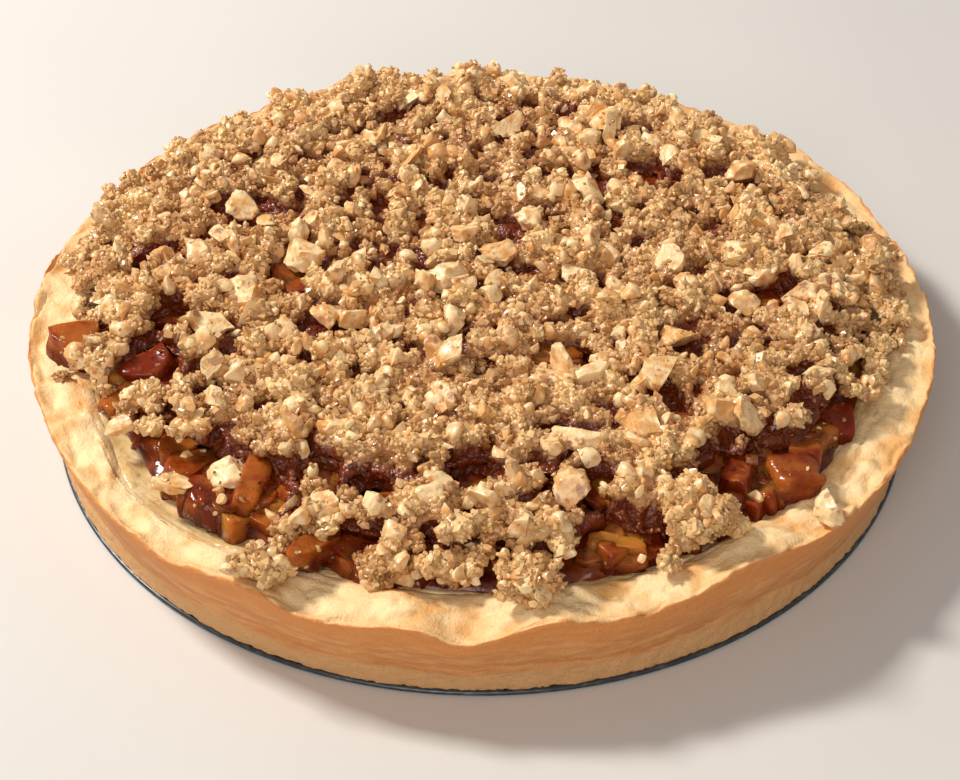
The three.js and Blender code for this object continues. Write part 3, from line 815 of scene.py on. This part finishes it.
apple = Finish("cooked_apple", roughness=0.14, transmission_weight=0.45, ior=1.36)
apple.set(subsurface_weight=0.6, subsurface_scale=0.004, subsurface_radius=(1.0, 0.4, 0.15))
tone = apple.attribute("tone")
# each piece is darker towards its bottom and lighter at its top: partly syrup soaked into its lower
# part, partly painted shade and painted light
raised = (apple.attribute("rise") * 0.10 + apple.noise(5, detail=3)).step(0.2, 0.9)
glow = (apple.noise(6, detail=2) + tone * 0.4).step(0.5, 0.95)
flesh = apple.blend(glow, FLESH_DARK, FLESH_AMBER)
flesh = apple.blend(tone.step(0.88, 0.96), flesh, FLESH_BRIGHT)
pimples = apple.cells(1.5).step(0.34, 0.1) * apple.noise(6, detail=2).step(0.45, 0.6)
apple.set(
    base_color=apple.blend(raised, FLESH_SOAKED_AND_SHADED, flesh),
    normal=apple.bump(pimples, 0.25, apple.bump(apple.noise(3.5, detail=3), 0.5)))
tones = rng.random(len(apples))
apple_mesh = scattered_mesh("apple_pieces", apple_shapes, places, sizes, turns, tones)
add_piece("apple_pieces", apple_mesh, apple)

# %% [markdown]
# ## The crumble: its lumps
# The heap's body starts as a copy of the frame's own solid, with small lumps added between the
# large ones. A voxel remesh melts them into one skin. That skin is then broken up as real crumble
# is: it falls into random cells the size of a pea, each one domed, lifted or sunk as a whole,
# with a deep crack all round it. Each cell has its own tone, which its points keep.

# %% Crumble: the heap's plan
CRUMBLE_FLOOR = 30.2
CRUMBLE_TOP = 37.4
GAP_EDGE_LEVEL = CRUMBLE_FLOOR - 4
HEAP_SLOPE = (98, 118)  # between these radii the gaps go down to the rim
HEAP_RADIUS = 115.0
HEAP_VOXEL = 1.06
RIM_VOXEL = 0.8
LOOSE_VOXEL = 0.6
PEA = 7.0
GRAIN = 2.6
SMALL_LUMPS = 1000
RIM_LUMPS = 230
LOOSE_NODES = sorted(name for name in frame["nodes"] if name.startswith("crumble_clump"))
NUT_NODES = sorted(name for name in frame["nodes"] if name.startswith("hazelnut"))


def heap_edge(angle):
    """The crumble's outline, as in the solid."""
    waves = 4.5 * math.sin(angle) - 12 * bell(angle, -135, 20) + 2 * math.sin(5 * angle + 0.7)
    return HEAP_RADIUS + waves


def crumb_edge(angle):
    """How far out crumbs lie on the rim: near its edge at the back, and nowhere in front."""
    spread = 5 * bell(angle, 138, 24) + 5 * bell(angle, 8, 16) + 9 * bell(angle, -166, 7)
    return heap_edge(angle) + 4 + spread


def middle_of(node):
    low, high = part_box(node)
    return (low + high) / 2 / MM, (high - low) / MM


def is_bare(x, y, margin):
    return any(math.hypot(x - px, y - py) < radius + margin for px, py, radius in BARE_PATCHES)


def gap_level(x, y):
    """The height of the dark bottom between lumps: level in the middle, and lower at the edge."""
    return mix(CRUMBLE_TOP, CRUMBLE_FLOOR - 1, smooth(*HEAP_SLOPE, math.hypot(x, y)))


# %% Crumble: melting and breaking
def copy_of(node):
    """The frame's solid as a bmesh in millimetres, its loose triangles joined."""
    bm = bmesh.new()
    bm.from_mesh(frame["nodes"][node].data)
    bmesh.ops.remove_doubles(bm, verts=bm.verts, dist=1e-6)
    bmesh.ops.scale(bm, vec=(1 / MM, 1 / MM, 1 / MM), verts=bm.verts)
    return bm


def add_lump(bm, x, y, z, size, seed):
    """Adds a ball of dough, squeezed a little out of round, to a bmesh."""
    squeeze = Matrix.Diagonal((mix(0.8, 1.25, draw(seed, 35)), mix(0.8, 1.25, draw(seed, 36)), 0.9, 1))
    bmesh.ops.create_icosphere(
        bm, subdivisions=2, radius=size / 2, matrix=Matrix.Translation((x, y, z)) @ squeeze)


def melted(bm, voxel):
    """One closed skin round everything in a bmesh, made of squares of about the voxel's size."""
    body = bpy.data.objects.new("melted", bpy.data.meshes.new("melted"))
    bm.to_mesh(body.data)
    bm.free()
    scene.collection.objects.link(body)
    melt = body.modifiers.new("melt", "REMESH")
    melt.mode = "VOXEL"
    melt.voxel_size = voxel
    skin = bpy.data.meshes.new_from_object(body.evaluated_get(bpy.context.evaluated_depsgraph_get()))
    bpy.data.objects.remove(body)
    bm = bmesh.new()
    bm.from_mesh(skin)
    return bm


def cell_at(place, size):
    """For random cells of about this size: how far a point is from its cell's middle and from
    its border, both in cell sizes, and the cell's own number from 0 to 1."""
    near, middles = noise.voronoi(place / size)
    return near[0], near[1] - near[0], draw(middles[0].x + 3 * middles[0].y, middles[0].z)


def break_up(bm, floor, cell=PEA, lift=2.2):
    """Breaks a skin into crumbly lumps above a height, and keeps each lump's tone."""
    tone = bm.verts.layers.float.new("tone")

    def crumbled(corner):
        place = corner.co
        far, border, own = cell_at(place, cell)
        fine, fine_border, fine_own = cell_at(place, GRAIN)
        relief = 2.6 * (0.42 - far) - 1.7 * smooth(0.16, 0, border) + lift * (own - 0.5)
        relief += 1.3 * (0.45 - fine) - 0.35 * smooth(0.2, 0, fine_border) + 0.6 * (fine_own - 0.5)
        if is_bare(place.x, place.y, PATCH_MARGIN):
            relief = min(relief, 0.2)
        corner[tone] = 0.75 * own + 0.25 * fine_own
        return place + corner.normal * relief * smooth(floor + 0.5, floor + 3, place.z)

    reshape(bm, crumbled)
    return bm


# %% Crumble: the heap
nut_places = [middle_of(node)[0] for node in NUT_NODES]
bm = copy_of("crumble")
for k in range(SMALL_LUMPS):
    turn = k * GOLDEN_ANGLE
    reach = (heap_edge(turn) + 3 + 4 * bell(turn, 140, 40)) * math.sqrt((k + 0.5) / SMALL_LUMPS)
    x = reach * math.cos(turn) + 6 * (draw(k, 31) - 0.5)
    y = reach * math.sin(turn) + 6 * (draw(k, 32) - 0.5)
    size = mix(4.5, 9, draw(k, 33) ** 1.3)
    near_nut = any(math.hypot(x - at.x, y - at.y) < 0.5 * size + 4 for at in nut_places)
    if not is_bare(x, y, 0.35 * size) and not near_nut:
        add_lump(bm, x, y, gap_level(x, y) + 0.14 * size + 2 * draw(k, 34), size, k)
bm = break_up(melted(bm, HEAP_VOXEL), CRUMBLE_FLOOR)
cut_away(bm, Vector((0, 0, -1)), -(CRUMBLE_FLOOR + 0.6))
heap_mesh = finished_mesh("crumble_body", bm)
print("crumble body:", len(heap_mesh.polygons), "faces")

# %% Crumble: what fell on the rim
bm = bmesh.new()
for k in range(RIM_LUMPS):
    turn = 2 * math.pi * (k + 0.8 * draw(k, 41)) / RIM_LUMPS
    inner, outer = heap_edge(turn) - 5, crumb_edge(turn)
    reach = mix(inner, outer, draw(k, 42))
    size = mix(3.2, 6.5, draw(k, 43)) * mix(1, 0.75, smooth(118, 126, reach))
    if math.degrees(turn) < 196 or math.degrees(turn) > 342:
        level = 28 + rim_lift(turn) * smooth(111, 122, reach)
        add_lump(bm, reach * math.cos(turn), reach * math.sin(turn), level + 0.3 * size, size, k)
rim_crumble_mesh = finished_mesh("rim_crumble", break_up(melted(bm, RIM_VOXEL), 27, 5.0, 1.2))
print("crumble on the rim:", len(rim_crumble_mesh.polygons), "faces")

# %% [markdown]
# ## The crumble: its crumbs
# Butter, sugar and flour bake to grains of one to two millimetres that stick together. Tens of
# thousands of them are strewn over the body, sunk to their waists. One seeded generator draws
# the points by area, so every run gives the same heap. The bottoms of the gaps get hardly any.

# %% Crumb shapes and strewing
def crumb_shape(seed):
    """A rough crystal of unit size: a jittered ball of twenty faces, or every fourth a cube."""
    bm = bmesh.new()
    if seed % 4 == 0:
        bmesh.ops.create_cube(bm, size=0.75)
    else:
        bmesh.ops.create_icosphere(bm, subdivisions=1, radius=0.5)
    for place, corner in enumerate(bm.verts):
        corner.co *= 1 + 0.36 * (2 * draw(seed, place) - 1)
    bmesh.ops.triangulate(bm, faces=bm.faces)
    return mesh_of(f"crumb_shape_{seed}", bm)


def ground_of(meshes):
    """The triangles that crumbs can be strewn on, in millimetres, and the tones of their lumps."""
    triangles, tones = [], []
    for mesh in meshes:
        points, sides = triangles_of(mesh)
        lump_tones = np.empty(len(points))
        mesh.attributes["tone"].data.foreach_get("value", lump_tones)
        triangles.append(points[sides] / MM)
        tones.append(lump_tones[sides[:, 0]])
    return np.concatenate(triangles), np.concatenate(tones)


def strew(ground, count, low, high, wanted, lift=0.14, flattest=0.6):
    """Places and sizes in millimetres of things spread over the ground by area, and the tones of
    the lumps under them. Small sizes are commoner. wanted(points) is how much each place is
    wanted, and lift is how far a thing's middle stands out, in its own sizes."""
    triangles, lump_tones = ground
    a, b, c = triangles[:, 0], triangles[:, 1], triangles[:, 2]
    crosses = np.cross(b - a, c - a)
    areas = np.linalg.norm(crosses, axis=1)
    normals = crosses / np.maximum(areas, 1e-9)[:, None]
    chance = areas * wanted((a + b + c) / 3) * (normals[:, 2] > -0.3)
    chosen = rng.choice(len(areas), size=count, p=chance / chance.sum())
    s, t = np.sqrt(rng.random((count, 1))), rng.random((count, 1))
    points = (1 - s) * a[chosen] + s * (1 - t) * b[chosen] + s * t * c[chosen]
    size = low + (high - low) * rng.random(count) ** 1.6
    sizes = size[:, None] * rng.uniform(flattest, 1.3, (count, 3))
    points += normals[chosen] * sizes.mean(axis=1, keepdims=True) * lift
    return points, sizes, lump_tones[chosen]


def random_turns(count):
    """Rotation matrices, each about an axis of its own."""
    axes = rng.normal(size=(count, 3))
    x, y, z = (axes / np.linalg.norm(axes, axis=1, keepdims=True)).T
    angles = rng.uniform(0, 2 * math.pi, count)
    c, s = np.cos(angles), np.sin(angles)
    rest = 1 - c
    rows = [
        [c + x * x * rest, x * y * rest - z * s, x * z * rest + y * s],
        [y * x * rest + z * s, c + y * y * rest, y * z * rest - x * s],
        [z * x * rest - y * s, z * y * rest + x * s, c + z * z * rest],
    ]
    return np.moveaxis(np.array(rows), 2, 0)


crumb_shapes = [crumb_shape(seed) for seed in range(8)]
print("crumb shapes:", [len(shape.polygons) for shape in crumb_shapes], "faces")

# %% [markdown]
# ## The finish of baked crumble
# Lumps differ in tone. What lies low is browner, partly from syrup that it soaked up and partly
# painted shade, and the bottoms of the gaps are painted near black: syrup and painted shade
# together. The body also lets some light through, and shows a grain and dark specks of nut skin.
# A single crumb is too small to show any of these, so its finish leaves them out.

# %% Crumble finish
CRUMB_BROWN = (0.46, 0.21, 0.06)
CRUMB_PALE = (0.94, 0.65, 0.30)
CRUMB_TOASTED = (0.52, 0.22, 0.06)
CRUMB_SOAKED_AND_SHADED = (0.42, 0.15, 0.035)
GAP_SYRUP_AND_SHADE = (0.18, 0.028, 0.005)
SPECK = (0.10, 0.035, 0.012)


def baked_crumble(name, textured):
    """The finish of crumble: textured for the body, and plain for crumbs strewn over it."""
    made = Finish(name, coat_roughness=0.1)
    patchy = made.noise(16, detail=1)
    flat = made.node("ShaderNodeVectorMath", {"operation": "MULTIPLY"}, {0: made.at, 1: (1, 1, 0)})
    radius = made.node("ShaderNodeVectorMath", {"operation": "LENGTH"}, {0: flat}, "Value") * 1000
    gap_drop = radius.step(*HEAP_SLOPE) * (CRUMBLE_TOP - GAP_EDGE_LEVEL)
    above_gap = made.height() - CRUMBLE_TOP + gap_drop
    in_gap = (above_gap + patchy * 2).step(2.8, 1.0)
    colour = made.blend(made.attribute("tone"), CRUMB_BROWN, CRUMB_PALE)
    colour = made.blend(patchy.step(0.50, 0.72) * 0.45, colour, CRUMB_TOASTED)
    # painted shade: what lies low is painted browner, partly syrup soak and partly shade
    colour = made.blend((above_gap + patchy * 4).step(8.5, 3) * 0.55, colour, CRUMB_SOAKED_AND_SHADED)
    # painted shade: the gap bottoms are painted near black, partly syrup and partly shade
    colour = made.blend(in_gap, colour, GAP_SYRUP_AND_SHADE)
    if textured:
        made.set(subsurface_weight=0.5, subsurface_scale=0.0008, subsurface_radius=(1.0, 1.0, 1.0))
        specks = made.cells(1.9).step(0.17, 0.10) * made.noise(7, detail=0).step(0.48, 0.56)
        colour = made.blend(specks * 0.85, colour, SPECK)
        made.set(normal=made.bump(made.noise(0.5, detail=1), 0.14, made.bump(1 - made.cells(1.3), 0.5)))
    made.set(base_color=colour, roughness=0.36 - in_gap * 0.1, coat_weight=0.45 - in_gap * 0.35)
    return made


crumble = baked_crumble("crumble", textured=True)
crumb = baked_crumble("crumb", textured=False)
add_piece("crumble_body", heap_mesh, crumble, ["crumble"])
add_piece("rim_crumble", rim_crumble_mesh, crumble)


# %% Crumbs on the heap
def on_lumps(points):
    """1 on the lumps and 0 in the gaps between them."""
    radius = np.hypot(points[:, 0], points[:, 1])
    share = np.clip((radius - HEAP_SLOPE[0]) / (HEAP_SLOPE[1] - HEAP_SLOPE[0]), 0, 1)
    level = CRUMBLE_TOP + (GAP_EDGE_LEVEL - CRUMBLE_TOP) * share * share * (3 - 2 * share)
    return np.clip((points[:, 2] - level - 0.6) / 1.5, 0.08, 1)


heap = ground_of([heap_mesh, rim_crumble_mesh])
for name, count, low, high, lift, crisp in [
    ("fine_crumbs", 9500, 0.8, 1.4, 0.14, 180), ("middle_crumbs", 11000, 1.1, 2.1, 0.14, 75),
    ("coarse_crumbs", 8500, 1.6, 2.8, 0.12, 50),
]:
    points, sizes, lump_tones = strew(heap, count, low, high, on_lumps, lift)
    tones = 0.75 * lump_tones + 0.3 * rng.random(count)
    mesh = scattered_mesh(name, crumb_shapes, points, sizes, random_turns(count), tones, crisp)
    add_piece(name, mesh, crumb)

# %% [markdown]
# ## The hazelnuts
# Chopped nuts break along flat faces and keep a bit of their round outside, with some skin. The
# large pieces stand where the frame has theirs, in the same size, and the smaller ones are
# strewn over the heap as the crumbs were.

# %% Nut shapes
def nut_shape(seed, cuts, subdivisions, offset=0.0, longest=0.14):
    """A ball of unit size with flat cuts. With an offset it is a large, well made one: its cut
    edges are rounded off, and its faces dip and swell as they do where a nut breaks."""
    bm = bmesh.new()
    bmesh.ops.create_icosphere(bm, subdivisions=subdivisions, radius=0.5)
    ripple(bm, seed, (0.14, 3))
    for cut in range(cuts):
        cut_away(bm, direction_of(seed, cut), mix(0.08, 0.4, draw(seed, 80 + cut)))
    if offset:
        blunt(bm, offset)
        refine(bm, longest)
        relax(bm)
        ripple(bm, seed, (0.22, 5), (0.06, 14))
    return unit_shape(f"nut_shape_{seed}", bm)


chopped_shapes = [nut_shape(seed, 5, 2) for seed in range(100, 112)]
broken_shapes = [nut_shape(seed, 4, 2, 0.07, 0.24) for seed in range(112, 120)]
print("nut shapes:", [len(shape.polygons) for shape in chopped_shapes + broken_shapes], "faces")

# %% Nut finish
NUT_IVORY = (0.95, 0.70, 0.38)
NUT_TOASTED = (0.74, 0.38, 0.12)
NUT_SKIN = (0.36, 0.13, 0.06)

nut = Finish("hazelnut", roughness=0.45, subsurface_weight=0.3, subsurface_scale=0.001)
nut.set(subsurface_radius=(1.0, 0.9, 0.8), coat_weight=0.3, coat_roughness=0.2)
toasted = (nut.noise(3, detail=1) + nut.attribute("tone") * 0.3).step(0.5, 0.85)
flesh = nut.blend(toasted, NUT_IVORY, NUT_TOASTED)
skin = nut.noise(5, detail=2, roughness=0.6).step(0.60, 0.66)
nut.set(
    base_color=nut.blend(skin * 0.7, flesh, NUT_SKIN),
    normal=nut.bump(nut.noise(2.2, detail=2, roughness=0.6), 0.6))

# %% Large nuts
nut_meshes = []
for index, node in enumerate(NUT_NODES):
    middle, size = middle_of(node)
    bm = bmesh.new()
    bm.from_mesh(nut_shape(200 + index, 4, 3, 0.07))
    bmesh.ops.scale(bm, vec=size + Vector((0.4, 0.4, 1.2)), verts=bm.verts)
    bmesh.ops.translate(bm, vec=middle + Vector((0, 0, 0.4)), verts=bm.verts)
    tones = bm.verts.layers.float.new("tone")
    for corner in bm.verts:
        corner[tones] = draw(index, 90)
    nut_mesh = finished_mesh(f"nut_{index + 1:02d}", bm)
    add_piece(f"nut_{index + 1:02d}", nut_mesh, nut, [node])
    nut_meshes.append(nut_mesh)


# %% Chopped nuts
NUT_LEVELS = (33, 42.5)
BROKEN_NUT_REACH = 106


def on_tops(points):
    """Where a nut would come to rest: the upper parts of the lumps."""
    return on_lumps(points) * (points[:, 2] > NUT_LEVELS[0])


def well_inside(points):
    """Large pieces stay off the heap's edge and off its highest lumps."""
    radius = np.hypot(points[:, 0], points[:, 1])
    return on_tops(points) * (radius < BROKEN_NUT_REACH) * (points[:, 2] < NUT_LEVELS[1])


for name, shapes, count, low, high, wanted in [
    ("chopped_nuts", chopped_shapes, 1700, 1.8, 6.0, on_tops),
    ("broken_nuts", broken_shapes, 130, 6.0, 10.5, well_inside),
]:
    points, sizes, _ = strew(heap, count, low, high, wanted, lift=0.2, flattest=0.5)
    turns, tones = random_turns(count), rng.random(count)
    mesh = scattered_mesh(name, shapes, points, sizes, turns, tones, crisp=70)
    add_piece(name, mesh, nut)
    nut_meshes.append(mesh)

# %% [markdown]
# ## The lumps that lie apart
# A few lumps of crumble fell onto the apple and the rim at the front. Each is made as the heap
# was, from a copy of the frame's solid with smaller lumps stuck on.

# %% Loose lumps
loose_meshes = []
for index, node in enumerate(LOOSE_NODES):
    middle, size = middle_of(node)
    bm = copy_of(node)
    for k in range(5):
        turn = k * GOLDEN_ANGLE + index
        x, y = middle.x + 0.42 * size.x * math.cos(turn), middle.y + 0.42 * size.y * math.sin(turn)
        z = middle.z + size.z * mix(-0.1, 0.35, draw(k, index))
        add_lump(bm, x, y, z, mix(4, 7, draw(k, index + 7)), k)
    bm = break_up(melted(bm, LOOSE_VOXEL), middle.z - size.z, 5.0, 1.2)
    lump_mesh = finished_mesh(node + "_body", bm)
    add_piece(node + "_body", lump_mesh, crumble, [node])
    loose_meshes.append(lump_mesh)

# %% What lies on the loose lumps and on the apple
def everywhere(points):
    return np.ones(len(points))


def upwards(points):
    return points[:, 2] > 29


lumps, apple_ground, nuts = ground_of(loose_meshes), ground_of([apple_mesh]), ground_of(nut_meshes)
for name, ground, shapes, finish, slot, count, low, high, wanted, crisp in [
    ("loose_crumbs", lumps, crumb_shapes, crumb, "crumble", 2800, 0.9, 2.5, everywhere, 40),
    ("loose_nuts", lumps, chopped_shapes, nut, "hazelnut", 170, 2.0, 5.0, everywhere, 34),
    ("stray_crumbs", apple_ground, crumb_shapes, crumb, "crumble", 420, 0.7, 2.0, upwards, 50),
    ("crumbs_on_nuts", nuts, crumb_shapes, crumb, "crumble", 1400, 0.7, 1.6, upwards, 75),
    ("stray_nuts", apple_ground, chopped_shapes, nut, "hazelnut", 60, 1.6, 4.5, upwards, 34),
]:
    points, sizes, lump_tones = strew(ground, count, low, high, wanted)
    tones = 0.5 * lump_tones + 0.5 * rng.random(count)
    mesh = scattered_mesh(name, shapes, points, sizes, random_turns(count), tones, crisp)
    add_piece(name, mesh, finish)
